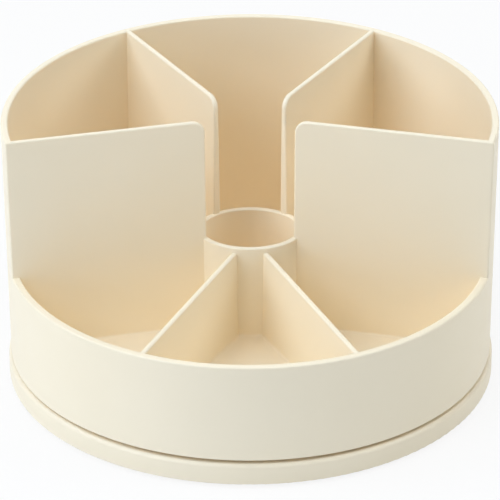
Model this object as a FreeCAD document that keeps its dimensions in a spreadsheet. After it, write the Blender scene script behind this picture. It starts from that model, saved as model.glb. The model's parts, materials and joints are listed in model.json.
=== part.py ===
import FreeCAD, Part
import math
import os

import Sketcher

# A rotating desk organizer: a one-piece divided tub that turns on a ring of balls over a low base disc.
# Millimetres, +Z up. The origin is on the turning axis, on the desk under the feet; the low front faces -Y.

SIZES = {
    # Heights, stacked from the desk upwards
    "foot_proud": 0.8,
    "base_height": 7.2,
    "shadow_gap": 1.25,
    "tall_wall_height": 81.6,
    "low_wall_height": 33.3,
    "cup_rise": 6.4,
    "floor_thickness": 2.2,
    # Drum wall of the tub
    "tub_radius": 80.0,
    "tub_taper": 0.9,
    "wall_thickness": 2.3,
    "wall_foot_thickness": 2.8,
    "floor_round": 0.8,
    "skirt_thickness": 2.2,
    "rim_round": 0.6,
    # Dividers: angles from the X axis and offsets from the turning axis
    "side_divider_angle": -14.0,
    "rear_divider_angle": 60.6,
    "rear_divider_offset": 3.3,
    "front_divider_angle": -63.8,
    "front_divider_offset": 0.7,
    "tall_divider_thickness": 1.7,
    "low_divider_thickness": 1.7,
    "divider_draft": 0.7,
    "divider_corner_radius": 4.0,
    "low_divider_drop": 1.7,
    # Oval cup, set slightly behind the turning axis and wider than it is deep
    "cup_half_depth": 15.1,
    "cup_widening": 2.4,
    "cup_wall": 1.9,
    "cup_setback": 2.4,
    "cup_rim_round": 0.32,
    "divider_inset": 1.25,
    # Pivot: journal under the tub, hub of the base, washer and screw
    "journal_radius": 6.0,
    "journal_clearance": 0.05,
    "hub_rise": 3.6,
    "hub_collar_wall": 2.0,
    "washer_clearance": 0.15,
    "washer_side_clearance": 1.0,
    "washer_hole_clearance": 0.15,
    "washer_radius": 8.5,
    "washer_thickness": 0.8,
    "screw_radius": 1.5,
    "screw_length": 8.0,
    "screw_head_radius": 3.2,
    "screw_head_height": 1.8,
    "screw_head_lift": 1.45,
    "screw_recess_width": 0.9,
    "screw_recess_length": 3.6,
    "screw_recess_depth": 1.0,
    "screw_fit": 0.02,
    # Ball bearing
    "ball_radius": 2.5,
    "ball_count": 12,
    "track_radius": 46.0,
    "race_clearance": 0.1,
    "race_depth": 1.0,
    "race_half_width": 4.0,
    "track_height": 1.725,
    "cage_thickness": 1.6,
    "cage_half_width": 4.6,
    "cage_pocket_clearance": 0.15,
    # Base disc
    "base_step": 0.8,
    "base_plate_thickness": 2.2,
    "base_rim_thickness": 2.2,
    "base_top_round": 1.4,
    "base_foot_round": 0.5,
    "rib_count": 12,
    "rib_thickness": 1.5,
    "rib_shy": 1.2,
    # Rubber feet
    "foot_count": 6,
    "foot_radius": 5.0,
    "foot_seat_depth": 1.0,
    "foot_seat_clearance": 0.1,
    "foot_boss_wall": 1.4,
    "foot_inset": 13.9,
    "foot_edge_chamfer": 0.4,
}


class Size:
    """A length, angle or count together with the sheet expression that drives it."""

    def __init__(self, text, value):
        self.text = text
        self.value = value

    def __add__(self, other):
        other = as_size(other)
        return Size(f"({self.text} + {other.text})", self.value + other.value)

    def __sub__(self, other):
        other = as_size(other)
        return Size(f"({self.text} - {other.text})", self.value - other.value)

    def __mul__(self, other):
        other = as_size(other)
        return Size(f"({self.text} * {other.text})", self.value * other.value)

    def __truediv__(self, other):
        other = as_size(other)
        return Size(f"({self.text} / {other.text})", self.value / other.value)

    def __neg__(self):
        return Size(f"(-1 * {self.text})", -self.value)


def least(*lengths):
    """The smallest of some lengths."""
    texts = "; ".join(length.text for length in lengths)
    return Size(f"min({texts})", min(length.value for length in lengths))


def as_size(number):
    """Plain numbers, such as a half or a full turn, join in as they are."""
    return number if isinstance(number, Size) else Size(repr(number), number)


doc = FreeCAD.newDocument("rotating_desk_organizer")
sheet = doc.addObject("Spreadsheet::Sheet", "Sizes")
sizes = {}
for row, (alias, number) in enumerate(SIZES.items(), start=1):
    sheet.set(f"A{row}", alias)
    sheet.set(f"B{row}", str(number))
    sheet.setAlias(f"B{row}", alias)
    sizes[alias] = Size(f"Sizes.{alias}", number)
doc.recompute()

ZERO = as_size(0)
HALF_TURN = as_size(180)
FULL_TURN = as_size(360)
TRIM_ALLOWANCE = as_size(4)
CLEAR_SHARE = as_size(0.5)
TOUCHING = 1e-4
SHARP_ANGLE = math.radians(30)
PROBE = 0.05

# Levels above the desk
base_bottom = sizes["foot_proud"]
base_top = base_bottom + sizes["base_height"]
plate_bottom = base_top - sizes["base_plate_thickness"]
tub_bottom = base_top + sizes["shadow_gap"]
tall_rim = tub_bottom + sizes["tall_wall_height"]
low_rim = tub_bottom + sizes["low_wall_height"]
cup_rim = low_rim + sizes["cup_rise"]
low_divider_top = cup_rim - sizes["low_divider_drop"]
race_radius = sizes["ball_radius"] + sizes["race_clearance"]
race_reach = race_radius - sizes["race_depth"]
lower_track_top = base_top + sizes["track_height"]
ball_level = lower_track_top + race_reach
upper_track_under = ball_level + race_reach
floor_under = upper_track_under + sizes["track_height"]
floor_top = floor_under + sizes["floor_thickness"]
screw_head_under = base_bottom + sizes["screw_head_lift"]
washer_under = screw_head_under + sizes["screw_head_height"]
journal_end = washer_under + sizes["washer_thickness"]
hub_bottom = journal_end + sizes["washer_clearance"]
hub_top = base_top + sizes["hub_rise"]
foot_seat = base_bottom + sizes["foot_seat_depth"]
rib_bottom = base_bottom + sizes["rib_shy"]

# The cup's rim is rounded only as far as the dividers that stand on it leave room
inset_room = (sizes["divider_inset"] - sizes["rim_round"]) * CLEAR_SHARE
bore_room = (sizes["cup_wall"] - sizes["divider_inset"]) * CLEAR_SHARE
cup_rim_radius = least(sizes["cup_rim_round"], inset_room, bore_room)

# Radii shared by pieces that fit together
tub_foot_radius = sizes["tub_radius"] - sizes["tub_taper"]
tub_inner_radius = sizes["tub_radius"] - sizes["wall_thickness"]
tub_floor_radius = tub_foot_radius - sizes["wall_foot_thickness"]
skirt_inner_radius = tub_foot_radius - sizes["skirt_thickness"]
drum_stock_radius = sizes["tub_radius"] + TRIM_ALLOWANCE
past_wall = sizes["tub_radius"] * 2
cup_half_width = sizes["cup_half_depth"] + sizes["cup_widening"]
divider_stock_start = sizes["cup_half_depth"] / 2
divider_stock_end = sizes["tub_radius"] + TRIM_ALLOWANCE / 2
track_inner_radius = sizes["track_radius"] - sizes["race_half_width"]
track_outer_radius = sizes["track_radius"] + sizes["race_half_width"]
hub_bore_radius = sizes["journal_radius"] + sizes["journal_clearance"]
hub_recess_radius = sizes["washer_radius"] + sizes["washer_side_clearance"]
hub_radius = hub_recess_radius + sizes["hub_collar_wall"]
base_radius = tub_foot_radius + sizes["base_step"]
base_rim_inner_radius = base_radius - sizes["base_rim_thickness"]
foot_circle_radius = base_radius - sizes["foot_inset"]
foot_seat_radius = sizes["foot_radius"] + sizes["foot_seat_clearance"]


def sine(angle):
    return Size(f"sin({angle.text} * 1 deg)", math.sin(math.radians(angle.value)))


def cosine(angle):
    return Size(f"cos({angle.text} * 1 deg)", math.cos(math.radians(angle.value)))


def bind(feature, path, length):
    """Drive one property of a feature from the sheet."""
    feature.setExpression(path, as_size(length).text)


def new_body(label):
    body = doc.addObject("PartDesign::Body", label)
    body.Label = label
    return body


def new_sketch(body, name, role, lift=ZERO, turn=ZERO):
    """A sketch on one of the body's own planes, moved along the plane's normal and turned about upright."""
    sketch = body.newObject("Sketcher::SketchObject", name)
    plane = next(item for item in body.Origin.OriginFeatures if item.Role == role)
    sketch.AttachmentSupport = (plane, "")
    sketch.MapMode = "FlatFace"
    upright = FreeCAD.Vector(0, 0, 1) if role == "XY_Plane" else FreeCAD.Vector(0, 1, 0)
    spin = FreeCAD.Rotation(upright, turn.value)
    sketch.AttachmentOffset = FreeCAD.Placement(FreeCAD.Vector(0, 0, lift.value), spin)
    bind(sketch, "AttachmentOffset.Base.z", lift)
    bind(sketch, "AttachmentOffset.Rotation.Angle", turn)
    return sketch


def hold_distance(sketch, kind, geometry, end, distance):
    """Fix a point of the sketch at a driven distance from the sketch's origin, across or along."""
    distance = as_size(distance)
    index = sketch.addConstraint(Sketcher.Constraint(kind, -1, 1, geometry, end, distance.value))
    sketch.setExpression(f"Constraints[{index}]", distance.text)


def hold_point(sketch, geometry, end, across, along):
    """Fix a point of the sketch at two driven distances from the sketch's origin."""
    hold_distance(sketch, "DistanceX", geometry, end, across)
    hold_distance(sketch, "DistanceY", geometry, end, along)


def polygon(sketch, corners):
    """A closed outline of straight lines; every corner is held by driven distances."""
    spots = [FreeCAD.Vector(as_size(x).value, as_size(y).value, 0) for x, y in corners]
    count = len(spots)
    for start in range(count):
        sketch.addGeometry(Part.LineSegment(spots[start], spots[(start + 1) % count]), False)
    for start in range(count):
        following = (start + 1) % count
        sketch.addConstraint(Sketcher.Constraint("Coincident", start, 2, following, 1))
    for corner, (across, along) in enumerate(corners):
        hold_point(sketch, corner, 1, across, along)


def circle(sketch, across, along, radius):
    """A driven circle in the sketch."""
    centre = FreeCAD.Vector(as_size(across).value, as_size(along).value, 0)
    ring = sketch.addGeometry(Part.Circle(centre, FreeCAD.Vector(0, 0, 1), radius.value), False)
    hold_point(sketch, ring, 3, across, along)
    index = sketch.addConstraint(Sketcher.Constraint("Radius", ring, radius.value))
    sketch.setExpression(f"Constraints[{index}]", radius.text)


def oval(sketch, along, half_width, half_depth):
    """A driven ellipse, wider across the sketch than along it."""
    centre = FreeCAD.Vector(0, along.value, 0)
    side = FreeCAD.Vector(half_width.value, along.value, 0)
    far = FreeCAD.Vector(0, (along + half_depth).value, 0)
    ring = sketch.addGeometry(Part.Ellipse(side, far, centre), False)
    sketch.exposeInternalGeometry(ring)
    wide_axis = ring + 1
    deep_axis = ring + 2
    hold_point(sketch, ring, 3, ZERO, along)
    sketch.addConstraint(Sketcher.Constraint("Horizontal", wide_axis))
    hold_distance(sketch, "DistanceX", wide_axis, 1, half_width)
    hold_distance(sketch, "DistanceY", deep_axis, 1, along + half_depth)


def turned(body, name, corners, cut=False):
    """Revolve an outline of (radius, height) corners about Z."""
    sketch = new_sketch(body, f"{name}_outline", "XZ_Plane")
    polygon(sketch, corners)
    return revolve(body, name, sketch, cut)


def revolve(body, name, sketch, cut=False):
    kind = "PartDesign::Groove" if cut else "PartDesign::Revolution"
    feature = body.newObject(kind, name)
    feature.Profile = sketch
    feature.ReferenceAxis = (sketch, ["V_Axis"])
    feature.Angle = FULL_TURN.value
    doc.recompute()
    return feature


def pad(body, name, sketch, length, down=False, draft=None):
    feature = body.newObject("PartDesign::Pad", name)
    feature.Profile = sketch
    feature.Reversed = down
    bind(feature, "Length", length)
    if draft is not None:
        bind(feature, "TaperAngle", draft)
    doc.recompute()
    return feature


def pocket(body, name, sketch, length=None, up=True):
    """Cut from the sketch upwards or downwards, to a depth or right through."""
    feature = body.newObject("PartDesign::Pocket", name)
    feature.Profile = sketch
    feature.Reversed = up
    if length is None:
        feature.Type = "ThroughAll"
    else:
        bind(feature, "Length", length)
    doc.recompute()
    return feature


def ring_pattern(body, name, feature, count):
    """Repeat a feature evenly round Z."""
    pattern = body.newObject("PartDesign::PolarPattern", name)
    pattern.Originals = [feature]
    axis = next(item for item in body.Origin.OriginFeatures if item.Role == "Z_Axis")
    pattern.Axis = (axis, [""])
    pattern.Angle = FULL_TURN.value
    bind(pattern, "Occurrences", count)
    body.Tip = pattern
    doc.recompute()
    return pattern


def rounded(body, name, edges, radius):
    """Round the chosen edges of the body so far."""
    base = body.Tip
    feature = body.newObject("PartDesign::Fillet", name)
    feature.Base = (base, edges)
    bind(feature, "Radius", radius)
    doc.recompute()
    return feature


def ball_race(body, name):
    """The round-bottomed groove that the balls run in."""
    sketch = new_sketch(body, f"{name}_outline", "XZ_Plane")
    circle(sketch, sizes["track_radius"], ball_level, race_radius)
    return revolve(body, name, sketch, cut=True)


def middle_of(edge):
    return edge.valueAt((edge.FirstParameter + edge.LastParameter) / 2)


def side_normals(shape, edge):
    """Outward normals of the two faces beside an edge, at its middle; a seam has only one face."""
    spot = middle_of(edge)
    return [face.normalAt(*face.Surface.parameter(spot)) for face in shape.ancestorsOfType(edge, Part.Face)]


def is_sharp(shape, edge):
    normals = side_normals(shape, edge)
    return len(normals) == 2 and normals[0].getAngle(normals[1]) > SHARP_ANGLE


def is_inner_corner(shape, edge):
    """True where the two faces meet in a hollow corner, with material on the far side of each."""
    normals = side_normals(shape, edge)
    return shape.isInside(middle_of(edge) + (normals[0] - normals[1]) * PROBE, TOUCHING, True)


def spans(edge, lower, upper):
    """True where the edge runs exactly from one level to the other."""
    box = edge.BoundBox
    return abs(box.ZMin - lower.value) < TOUCHING and abs(box.ZMax - upper.value) < TOUCHING


def edge_names(shape, wanted):
    """Names of the sharp edges that pass a test."""
    numbered = enumerate(shape.Edges, start=1)
    return [f"Edge{number}" for number, edge in numbered if wanted(edge) and is_sharp(shape, edge)]


def add_divider(tub, name, angle, offset, thickness, top):
    """One straight wall from inside the cup into the drum's wall, thicker towards the floor for release."""
    sketch = new_sketch(tub, f"{name}_outline", "XY_Plane", lift=top, turn=angle)
    polygon(sketch, [
        (divider_stock_start, offset - thickness / 2),
        (divider_stock_end, offset - thickness / 2),
        (divider_stock_end, offset + thickness / 2),
        (divider_stock_start, offset + thickness / 2),
    ])
    pad(tub, name, sketch, top - floor_top, down=True, draft=sizes["divider_draft"])


def slope_divider(tub, name, angle):
    """Cut a low divider's top to run down from beside the cup to the low rim."""
    sketch = new_sketch(tub, f"{name}_outline", "XZ_Plane", turn=angle)
    polygon(sketch, [
        (sizes["cup_half_depth"], low_divider_top),
        (tub_floor_radius, low_rim),
        (past_wall, low_rim),
        (past_wall, cup_rim),
        (sizes["cup_half_depth"], cup_rim),
    ])
    reach = sizes["front_divider_offset"] + sizes["low_divider_thickness"]
    cut = pocket(tub, name, sketch, reach * 2)
    cut.Midplane = True
    doc.recompute()


def cup_outline(tub, name, inset):
    """The cup's oval on the floor, or one that lies inside it."""
    sketch = new_sketch(tub, name, "XY_Plane", lift=floor_top)
    oval(sketch, sizes["cup_setback"], cup_half_width - inset, sizes["cup_half_depth"] - inset)
    return sketch


def both_sides(angle, offset):
    """The angle and offset of a divider on the right, and of its mirror image on the left."""
    return (("right", angle, -offset), ("left", HALF_TURN - angle, offset))


def make_tub():
    tub = new_body("organizer_tub")
    turned(tub, "drum", [
        (ZERO, floor_under),
        (skirt_inner_radius, floor_under),
        (skirt_inner_radius, tub_bottom),
        (drum_stock_radius, tub_bottom),
        (drum_stock_radius, tall_rim),
        (tub_inner_radius, tall_rim),
        (tub_floor_radius, floor_top),
        (ZERO, floor_top),
    ])
    step = new_sketch(tub, "front_step_outline", "XY_Plane", lift=low_rim)
    step_drop = past_wall * sine(sizes["side_divider_angle"])
    step_spread = past_wall * cosine(sizes["side_divider_angle"])
    polygon(step, [
        (ZERO, ZERO),
        (-step_spread, step_drop),
        (-step_spread, -past_wall),
        (step_spread, -past_wall),
        (step_spread, step_drop),
    ])
    pocket(tub, "front_step", step)
    tall_thickness = sizes["tall_divider_thickness"]
    low_thickness = sizes["low_divider_thickness"]
    for side, angle, offset in both_sides(sizes["side_divider_angle"], ZERO):
        add_divider(tub, f"side_divider_{side}", angle, offset, tall_thickness, tall_rim)
    for side, angle, offset in both_sides(sizes["rear_divider_angle"], sizes["rear_divider_offset"]):
        add_divider(tub, f"rear_divider_{side}", angle, offset, tall_thickness, tall_rim)
    for side, angle, offset in both_sides(sizes["front_divider_angle"], sizes["front_divider_offset"]):
        add_divider(tub, f"front_divider_{side}", angle, offset, low_thickness, low_divider_top)
        slope_divider(tub, f"front_slope_{side}", angle)
    well = cup_outline(tub, "well_outline", sizes["divider_inset"])
    pocket(tub, "well", well)
    cup = cup_outline(tub, "cup_outline", ZERO)
    pad(tub, "cup", cup, cup_rim - floor_top)
    bore = cup_outline(tub, "cup_bore_outline", sizes["cup_wall"])
    pocket(tub, "cup_bore", bore)
    turned(tub, "outside_trim", [
        (tub_foot_radius, tub_bottom),
        (sizes["tub_radius"], tall_rim),
        (past_wall, tall_rim),
        (past_wall, tub_bottom),
    ], cut=True)
    turned(tub, "journal", [
        (ZERO, journal_end),
        (sizes["journal_radius"], journal_end),
        (sizes["journal_radius"], floor_under),
        (ZERO, floor_under),
    ])
    turned(tub, "upper_track", [
        (track_inner_radius, upper_track_under),
        (track_outer_radius, upper_track_under),
        (track_outer_radius, floor_under),
        (track_inner_radius, floor_under),
    ])
    ball_race(tub, "upper_race")
    pilot = new_sketch(tub, "screw_pilot_outline", "XY_Plane", lift=journal_end)
    circle(pilot, ZERO, ZERO, sizes["screw_radius"] + sizes["screw_fit"])
    pocket(tub, "screw_pilot", pilot, sizes["screw_length"])
    round_tub(tub)
    return tub


def on_oval(spot, inset):
    """True for a point above the oval that lies inside the cup's outside by an inset."""
    across = spot.x / (cup_half_width - inset).value
    along = (spot.y - sizes["cup_setback"].value) / (sizes["cup_half_depth"] - inset).value
    return abs(math.hypot(across, along) - 1) < TOUCHING


def round_tub(tub):
    """Soften the moulding: divider corners, inner floor corners, the cup's rim, then all other rims."""

    def on_divider_end(edge):
        ends = [on_oval(vertex.Point, sizes["divider_inset"]) for vertex in edge.Vertexes]
        return spans(edge, tall_rim, tall_rim) and all(ends)

    def on_cup_rim(edge):
        return spans(edge, cup_rim, cup_rim) and not is_inner_corner(shape, edge)

    def on_rim(edge):
        level = spans(edge, tall_rim, tall_rim) or spans(edge, low_rim, low_rim)
        sloped = spans(edge, low_rim, low_divider_top) or spans(edge, low_rim, tall_rim)
        return (level or sloped) and not is_inner_corner(shape, edge)

    shape = tub.Shape
    rounded(tub, "divider_corners", edge_names(shape, on_divider_end), sizes["divider_corner_radius"])
    shape = tub.Shape
    floor_edges = edge_names(shape, lambda edge: spans(edge, floor_top, floor_top))
    rounded(tub, "floor_corners", floor_edges, sizes["floor_round"])
    shape = tub.Shape
    rounded(tub, "cup_rim_edges", edge_names(shape, on_cup_rim), cup_rim_radius)
    shape = tub.Shape
    rounded(tub, "rim_edges", edge_names(shape, on_rim), sizes["rim_round"])


def make_base():
    base = new_body("base_disc")
    turned(base, "disc", [
        (hub_bore_radius, hub_bottom),
        (hub_recess_radius, hub_bottom),
        (hub_recess_radius, rib_bottom),
        (hub_radius, rib_bottom),
        (hub_radius, plate_bottom),
        (base_rim_inner_radius, plate_bottom),
        (base_rim_inner_radius, base_bottom),
        (base_radius, base_bottom),
        (base_radius, base_top),
        (track_outer_radius, base_top),
        (track_outer_radius, lower_track_top),
        (track_inner_radius, lower_track_top),
        (track_inner_radius, base_top),
        (hub_radius, base_top),
        (hub_radius, hub_top),
        (hub_bore_radius, hub_top),
    ])
    ball_race(base, "lower_race")
    turned(base, "track_rib", [
        (sizes["track_radius"] - sizes["rib_thickness"] / 2, rib_bottom),
        (sizes["track_radius"] + sizes["rib_thickness"] / 2, rib_bottom),
        (sizes["track_radius"] + sizes["rib_thickness"] / 2, plate_bottom),
        (sizes["track_radius"] - sizes["rib_thickness"] / 2, plate_bottom),
    ])
    rib_start = hub_radius - sizes["hub_collar_wall"] / 2
    rib_end = base_rim_inner_radius + sizes["base_rim_thickness"] / 2
    rib = new_sketch(base, "rib_outline", "XY_Plane", lift=rib_bottom)
    polygon(rib, [
        (rib_start, -sizes["rib_thickness"] / 2),
        (rib_end, -sizes["rib_thickness"] / 2),
        (rib_end, sizes["rib_thickness"] / 2),
        (rib_start, sizes["rib_thickness"] / 2),
    ])
    first_rib = pad(base, "rib", rib, plate_bottom - rib_bottom)
    ring_pattern(base, "ribs", first_rib, sizes["rib_count"])
    boss = new_sketch(base, "foot_boss_outline", "XY_Plane", lift=base_bottom)
    circle(boss, foot_circle_radius, ZERO, foot_seat_radius + sizes["foot_boss_wall"])
    first_boss = pad(base, "foot_boss", boss, plate_bottom - base_bottom)
    ring_pattern(base, "foot_bosses", first_boss, sizes["foot_count"])
    seat = new_sketch(base, "foot_seat_outline", "XY_Plane", lift=base_bottom)
    circle(seat, foot_circle_radius, ZERO, foot_seat_radius)
    first_seat = pocket(base, "foot_seat", seat, sizes["foot_seat_depth"])
    ring_pattern(base, "foot_seats", first_seat, sizes["foot_count"])

    def outside(edge):
        return abs(edge.BoundBox.XMax - base_radius.value) < TOUCHING

    top_edge = edge_names(base.Shape, lambda edge: outside(edge) and spans(edge, base_top, base_top))
    rounded(base, "top_round", top_edge, sizes["base_top_round"])
    foot_edge = edge_names(base.Shape, lambda edge: outside(edge) and spans(edge, base_bottom, base_bottom))
    rounded(base, "foot_round", foot_edge, sizes["base_foot_round"])
    return base


def make_cage():
    cage = new_body("ball_cage")
    turned(cage, "ring", [
        (sizes["track_radius"] - sizes["cage_half_width"], ball_level - sizes["cage_thickness"] / 2),
        (sizes["track_radius"] + sizes["cage_half_width"], ball_level - sizes["cage_thickness"] / 2),
        (sizes["track_radius"] + sizes["cage_half_width"], ball_level + sizes["cage_thickness"] / 2),
        (sizes["track_radius"] - sizes["cage_half_width"], ball_level + sizes["cage_thickness"] / 2),
    ])
    hole = new_sketch(cage, "ball_pocket_outline", "XY_Plane", lift=ball_level - sizes["cage_thickness"] / 2)
    circle(hole, sizes["track_radius"], ZERO, sizes["ball_radius"] + sizes["cage_pocket_clearance"])
    first_hole = pocket(cage, "ball_pocket", hole)
    ring_pattern(cage, "ball_pockets", first_hole, sizes["ball_count"])
    return cage


def place_round(piece, radius, share, count, height):
    """Stand a piece on a circle round Z, one of a number of even steps round it."""
    angle = FULL_TURN * share / count
    bind(piece, "Placement.Base.x", radius * cosine(angle))
    bind(piece, "Placement.Base.y", radius * sine(angle))
    bind(piece, "Placement.Base.z", height)


def make_balls():
    balls = []
    for share in range(int(sizes["ball_count"].value)):
        ball = doc.addObject("Part::Sphere", f"bearing_ball_{share + 1:02d}")
        ball.Label = f"bearing_ball_{share + 1:02d}"
        bind(ball, "Radius", sizes["ball_radius"])
        place_round(ball, sizes["track_radius"], share, sizes["ball_count"], ball_level)
        balls.append(ball)
    return balls


def make_washer():
    washer = new_body("pivot_washer")
    turned(washer, "disc", [
        (sizes["screw_radius"] + sizes["washer_hole_clearance"], washer_under),
        (sizes["washer_radius"], washer_under),
        (sizes["washer_radius"], journal_end),
        (sizes["screw_radius"] + sizes["washer_hole_clearance"], journal_end),
    ])
    return washer


def make_screw():
    screw = new_body("pivot_screw")
    tip = washer_under + sizes["screw_length"]
    turned(screw, "head_and_shank", [
        (ZERO, screw_head_under),
        (sizes["screw_recess_length"] / 2 + sizes["screw_recess_width"] / 2, screw_head_under),
        (sizes["screw_head_radius"], screw_head_under + sizes["screw_head_height"] / 2),
        (sizes["screw_head_radius"], washer_under),
        (sizes["screw_radius"], washer_under),
        (sizes["screw_radius"], tip - sizes["screw_radius"]),
        (sizes["screw_radius"] / 2, tip),
        (ZERO, tip),
    ])
    for name, turn in (("recess_across", ZERO), ("recess_along", HALF_TURN / 2)):
        slot = new_sketch(screw, f"{name}_outline", "XY_Plane", lift=screw_head_under, turn=turn)
        half_length = sizes["screw_recess_length"] / 2
        half_width = sizes["screw_recess_width"] / 2
        polygon(slot, [
            (-half_length, -half_width),
            (half_length, -half_width),
            (half_length, half_width),
            (-half_length, half_width),
        ])
        pocket(screw, name, slot, sizes["screw_recess_depth"])
    return screw


def make_feet():
    feet = []
    for share in range(int(sizes["foot_count"].value)):
        foot = new_body(f"foot_pad_{share + 1}")
        turned(foot, "pad", [
            (ZERO, ZERO),
            (sizes["foot_radius"] - sizes["foot_edge_chamfer"], ZERO),
            (sizes["foot_radius"], sizes["foot_edge_chamfer"]),
            (sizes["foot_radius"], foot_seat),
            (ZERO, foot_seat),
        ])
        place_round(foot, foot_circle_radius, share, sizes["foot_count"], ZERO)
        feet.append(foot)
    return feet


pieces = [make_tub(), make_base(), make_cage(), make_washer(), make_screw(), *make_balls(), *make_feet()]
doc.recompute()

for item in doc.Objects:
    if "Invalid" in item.State or "Error" in item.State:
        raise RuntimeError(f"{item.Name} did not compute: {item.State}")
for piece in pieces:
    if piece.Shape.isNull() or not piece.Shape.isValid() or len(piece.Shape.Solids) != 1:
        raise RuntimeError(f"{piece.Label} is not one valid solid")

os.makedirs("parts", exist_ok=True)
for piece in pieces:
    piece.Shape.exportStep(os.path.join("parts", f"{piece.Label}.step"))
    print(f"{piece.Label}: {piece.Shape.Volume:.1f} cubic mm")
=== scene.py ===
import json
import math
from typing import NamedTuple

import bpy
from mathutils import Matrix, Vector

# The looks of a rotating desk organizer: satin cream mouldings, rubber feet and a steel ball bearing,
# on a white table among soft boxes. Metres, in the part's own frame.

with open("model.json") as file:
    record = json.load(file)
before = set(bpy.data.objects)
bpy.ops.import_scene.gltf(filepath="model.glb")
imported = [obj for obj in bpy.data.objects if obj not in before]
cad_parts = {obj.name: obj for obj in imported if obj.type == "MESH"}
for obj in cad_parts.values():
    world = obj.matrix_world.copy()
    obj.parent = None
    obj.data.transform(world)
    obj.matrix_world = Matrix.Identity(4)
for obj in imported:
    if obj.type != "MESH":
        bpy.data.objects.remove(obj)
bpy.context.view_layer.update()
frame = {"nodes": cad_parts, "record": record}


class Grain(NamedTuple):
    """Noise in the part's own space: cycles per metre, and the levels of finer noise in it."""

    scale: float
    detail: float = 2.0


class Finish(NamedTuple):
    """A surface that drifts between two colours and two roughnesses, under layers of relief."""

    colours: tuple
    tone: Grain
    roughness: tuple
    gloss: Grain
    relief: tuple
    metallic: float = 0.0


# Camera, in front and above, with a long lens. The lens and its sensor are in millimetres
CAMERA_PLACE = Vector((0.00522, -1.08359, 0.61193))
CAMERA_PITCH = math.radians(27.74)
CAMERA_YAW = math.radians(-0.28)
CAMERA_ROLL = math.radians(-0.21)
CAMERA_LENS = 269.33
SENSOR_WIDTH = 36.0
CLIP_NEAR = 0.01
CLIP_FAR = 100.0

# Colours, linear
CREAM = (0.932, 0.832, 0.648)
CREAM_DEEP = (0.920, 0.818, 0.630)
CAGE_WHITE = (0.80, 0.80, 0.77)
CAGE_SHADE = (0.752, 0.752, 0.724)
STEEL = (0.58, 0.57, 0.56)
STEEL_DARK = (0.42, 0.41, 0.40)
RUBBER = (0.035, 0.034, 0.033)
RUBBER_DUSTY = (0.060, 0.058, 0.055)
WHITE = (1.0, 1.0, 1.0)
DAYLIGHT = (0.92, 1.0, 1.10)
WARM_WHITE = (1.0, 1.0, 0.94)

# Finishes. A relief layer is a grain and its depth in metres
SATIN_CREAM = Finish(
    colours=(CREAM, CREAM_DEEP),
    tone=Grain(28.0),
    roughness=(0.38, 0.48),
    gloss=Grain(160.0, detail=3.0),
    relief=((Grain(90.0, detail=1.0), 0.00005), (Grain(3500.0), 0.000006)),
)
WAXY_NYLON = Finish(
    colours=(CAGE_WHITE, CAGE_SHADE),
    tone=Grain(120.0),
    roughness=(0.42, 0.55),
    gloss=Grain(400.0),
    relief=((Grain(2500.0), 0.000008),),
)
GROUND_STEEL = Finish(
    colours=(STEEL, STEEL_DARK),
    tone=Grain(900.0, detail=4.0),
    roughness=(0.16, 0.30),
    gloss=Grain(1500.0),
    relief=((Grain(3000.0), 0.000004),),
    metallic=1.0,
)
DUSTY_RUBBER = Finish(
    colours=(RUBBER, RUBBER_DUSTY),
    tone=Grain(700.0, detail=4.0),
    roughness=(0.70, 0.88),
    gloss=Grain(1200.0),
    relief=((Grain(2600.0, detail=3.0), 0.00003),),
)
FINISH_OF_SLOT = {
    "tub_plastic": SATIN_CREAM,
    "base_plastic": SATIN_CREAM,
    "cage_plastic": WAXY_NYLON,
    "steel": GROUND_STEEL,
    "foot_rubber": DUSTY_RUBBER,
}
# Noise mostly lies between these values
NOISE_LOW = 0.3
NOISE_HIGH = 0.7

# The table lies a hair under the pads, so that no two faces share a plane
FLOOR_HALF = 4.0
FLOOR_LEVEL = -0.0002
FLOOR_COLOUR = (0.86, 0.86, 0.86)
FLOOR_ROUGHNESS = 0.9
# How far the table is lifted to white for the lens; the rest of it shows the shadow
FLOOR_GLOW_SHARE = 0.85

# Light. Each soft box has a place, a width in metres, a power in watts and a colour
AMBIENT_STRENGTH = 0.12
LAMP_TARGET = Vector((0.0, 0.0, 0.04))
SOFT_BOXES = {
    "top_light": (Vector((0.0, 0.0, 1.3)), 1.2, 6.0, DAYLIGHT),
    "left_light": (Vector((-1.1, 0.0, 0.9)), 0.8, 6.7, DAYLIGHT),
    "front_left_light": (Vector((-0.75, -0.75, 0.95)), 0.7, 4.9, DAYLIGHT),
    "low_left_light": (Vector((-0.9, -0.9, 0.25)), 0.45, 2.35, DAYLIGHT),
    "low_right_light": (Vector((0.9, -0.9, 0.25)), 0.45, 0.85, DAYLIGHT),
    "right_light": (Vector((1.1, 0.0, 0.9)), 0.8, 6.3, WARM_WHITE),
    "back_light": (Vector((0.0, 1.1, 1.0)), 0.9, 2.4, WARM_WHITE),
}
# Light that bounces between pale walls keeps going for many turns
DIFFUSE_BOUNCES = 16
ALL_BOUNCES = 24


def new_material(name):
    """A node material with one shader: the material, its nodes, the shader and the output."""
    material = bpy.data.materials.new(name)
    material.use_nodes = True
    tree = material.node_tree
    tree.nodes.clear()
    output = tree.nodes.new("ShaderNodeOutputMaterial")
    shader = tree.nodes.new("ShaderNodeBsdfPrincipled")
    tree.links.new(shader.outputs["BSDF"], output.inputs["Surface"])
    return material, tree, shader, output


def noise(tree, grain):
    """The value of a grain at each point of the part."""
    place = tree.nodes.new("ShaderNodeTexCoord")
    texture = tree.nodes.new("ShaderNodeTexNoise")
    texture.inputs["Scale"].default_value = grain.scale
    texture.inputs["Detail"].default_value = grain.detail
    tree.links.new(place.outputs["Object"], texture.inputs["Vector"])
    return texture.outputs["Fac"]


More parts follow.
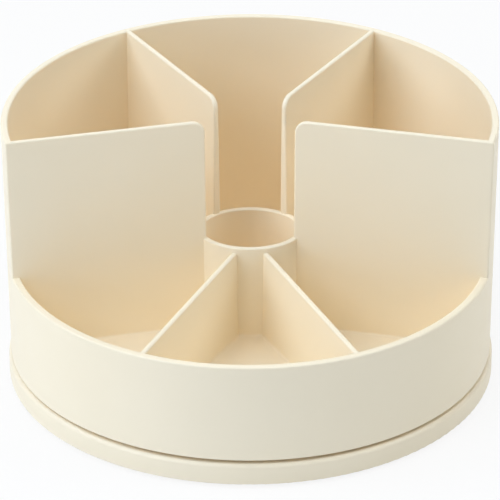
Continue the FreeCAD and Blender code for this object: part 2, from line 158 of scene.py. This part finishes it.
def spread(tree, value, low, high):
    """Map a noise value onto a range of numbers."""
    ranged = tree.nodes.new("ShaderNodeMapRange")
    ranged.inputs["From Min"].default_value = NOISE_LOW
    ranged.inputs["From Max"].default_value = NOISE_HIGH
    ranged.inputs["To Min"].default_value = low
    ranged.inputs["To Max"].default_value = high
    tree.links.new(value, ranged.inputs["Value"])
    return ranged.outputs["Result"]


def blend_colours(tree, value, first, second):
    """Two colours mixed by a value from 0 to 1."""
    mix = tree.nodes.new("ShaderNodeMix")
    mix.data_type = "RGBA"
    mix.inputs["A"].default_value = (*first, 1.0)
    mix.inputs["B"].default_value = (*second, 1.0)
    tree.links.new(value, mix.inputs["Factor"])
    return mix.outputs["Result"]


def relief_normal(tree, layers):
    """The surface normal under a stack of relief layers."""
    normal = None
    for grain, depth in layers:
        bump = tree.nodes.new("ShaderNodeBump")
        bump.inputs["Distance"].default_value = depth
        tree.links.new(noise(tree, grain), bump.inputs["Height"])
        if normal is not None:
            tree.links.new(normal, bump.inputs["Normal"])
        normal = bump.outputs["Normal"]
    return normal


def finish_material(name, finish):
    """A procedural material with a finish's colours, gloss and relief."""
    material, tree, shader, _ = new_material(name)
    tone = spread(tree, noise(tree, finish.tone), 0.0, 1.0)
    tree.links.new(blend_colours(tree, tone, *finish.colours), shader.inputs["Base Color"])
    gloss = spread(tree, noise(tree, finish.gloss), *finish.roughness)
    tree.links.new(gloss, shader.inputs["Roughness"])
    shader.inputs["Metallic"].default_value = finish.metallic
    tree.links.new(relief_normal(tree, finish.relief), shader.inputs["Normal"])
    return material


def finish_nodes():
    """Give every node of the frame the finish of its material slot."""
    materials = {slot: finish_material(f"{slot}_finish", finish) for slot, finish in FINISH_OF_SLOT.items()}
    for part in frame["record"]["subparts"]:
        mesh = frame["nodes"][part["node"]].data
        mesh.materials.clear()
        mesh.materials.append(materials[part["material_slot"]])


def white_for_lens(tree, seen, lit):
    """Show one shader to the lens and to reflections, and another to the light itself."""
    rays = tree.nodes.new("ShaderNodeLightPath")
    looks = rays.outputs["Is Camera Ray"]
    for kind in ("Is Glossy Ray", "Is Transmission Ray"):
        either = tree.nodes.new("ShaderNodeMath")
        either.operation = "MAXIMUM"
        tree.links.new(looks, either.inputs[0])
        tree.links.new(rays.outputs[kind], either.inputs[1])
        looks = either.outputs["Value"]
    mix = tree.nodes.new("ShaderNodeMixShader")
    tree.links.new(looks, mix.inputs["Fac"])
    tree.links.new(lit, mix.inputs[1])
    tree.links.new(seen, mix.inputs[2])
    return mix.outputs["Shader"]


def make_floor():
    """A large white table that keeps a faint shadow of the organizer."""
    mesh = bpy.data.meshes.new("floor")
    signs = ((-1, -1), (1, -1), (1, 1), (-1, 1))
    corners = [(x * FLOOR_HALF, y * FLOOR_HALF, FLOOR_LEVEL) for x, y in signs]
    mesh.from_pydata(corners, [], [(0, 1, 2, 3)])
    floor = bpy.data.objects.new("floor", mesh)
    bpy.context.scene.collection.objects.link(floor)
    material, tree, shader, output = new_material("white_table")
    shader.inputs["Base Color"].default_value = (*FLOOR_COLOUR, 1.0)
    shader.inputs["Roughness"].default_value = FLOOR_ROUGHNESS
    glow = tree.nodes.new("ShaderNodeEmission")
    glow.inputs["Color"].default_value = (*WHITE, 1.0)
    paler = tree.nodes.new("ShaderNodeMixShader")
    paler.inputs["Fac"].default_value = FLOOR_GLOW_SHARE
    tree.links.new(shader.outputs["BSDF"], paler.inputs[1])
    tree.links.new(glow.outputs["Emission"], paler.inputs[2])
    surface = white_for_lens(tree, paler.outputs["Shader"], shader.outputs["BSDF"])
    tree.links.new(surface, output.inputs["Surface"])
    mesh.materials.append(material)


def make_world():
    """A white surround: full white to the lens, softer as light."""
    world = bpy.data.worlds.new("white_surround")
    world.use_nodes = True
    tree = world.node_tree
    tree.nodes.clear()
    seen = tree.nodes.new("ShaderNodeBackground")
    seen.inputs["Color"].default_value = (*WHITE, 1.0)
    seen.inputs["Strength"].default_value = 1.0
    lit = tree.nodes.new("ShaderNodeBackground")
    lit.inputs["Color"].default_value = (*DAYLIGHT, 1.0)
    lit.inputs["Strength"].default_value = AMBIENT_STRENGTH
    output = tree.nodes.new("ShaderNodeOutputWorld")
    surface = white_for_lens(tree, seen.outputs["Background"], lit.outputs["Background"])
    tree.links.new(surface, output.inputs["Surface"])
    bpy.context.scene.world = world


def make_lamp(name, place, size, power, colour):
    """A square soft box that looks at the organizer."""
    lamp = bpy.data.lights.new(name, "AREA")
    lamp.size = size
    lamp.energy = power
    lamp.color = colour
    holder = bpy.data.objects.new(name, lamp)
    holder.location = place
    holder.rotation_mode = "QUATERNION"
    holder.rotation_quaternion = (LAMP_TARGET - place).to_track_quat("-Z", "Y")
    bpy.context.scene.collection.objects.link(holder)


def make_camera():
    """Look down the lens axis given by pitch, yaw and roll."""
    lens = bpy.data.cameras.new("camera")
    lens.lens = CAMERA_LENS
    lens.sensor_width = SENSOR_WIDTH
    lens.clip_start = CLIP_NEAR
    lens.clip_end = CLIP_FAR
    ahead = Vector((
        math.sin(CAMERA_YAW) * math.cos(CAMERA_PITCH),
        math.cos(CAMERA_YAW) * math.cos(CAMERA_PITCH),
        -math.sin(CAMERA_PITCH),
    ))
    level = Vector((math.cos(CAMERA_YAW), -math.sin(CAMERA_YAW), 0.0))
    above = level.cross(ahead)
    right = level * math.cos(CAMERA_ROLL) + above * math.sin(CAMERA_ROLL)
    upward = above * math.cos(CAMERA_ROLL) - level * math.sin(CAMERA_ROLL)
    turn = Matrix((right, upward, -ahead)).transposed().to_4x4()
    camera = bpy.data.objects.new("camera", lens)
    camera.matrix_world = Matrix.Translation(CAMERA_PLACE) @ turn
    bpy.context.scene.collection.objects.link(camera)
    bpy.context.scene.camera = camera


finish_nodes()
make_floor()
make_world()
for box_name, box in SOFT_BOXES.items():
    make_lamp(box_name, *box)
make_camera()
bpy.context.scene.cycles.diffuse_bounces = DIFFUSE_BOUNCES
bpy.context.scene.cycles.max_bounces = ALL_BOUNCES
bpy.context.scene.view_settings.view_transform = "Standard"
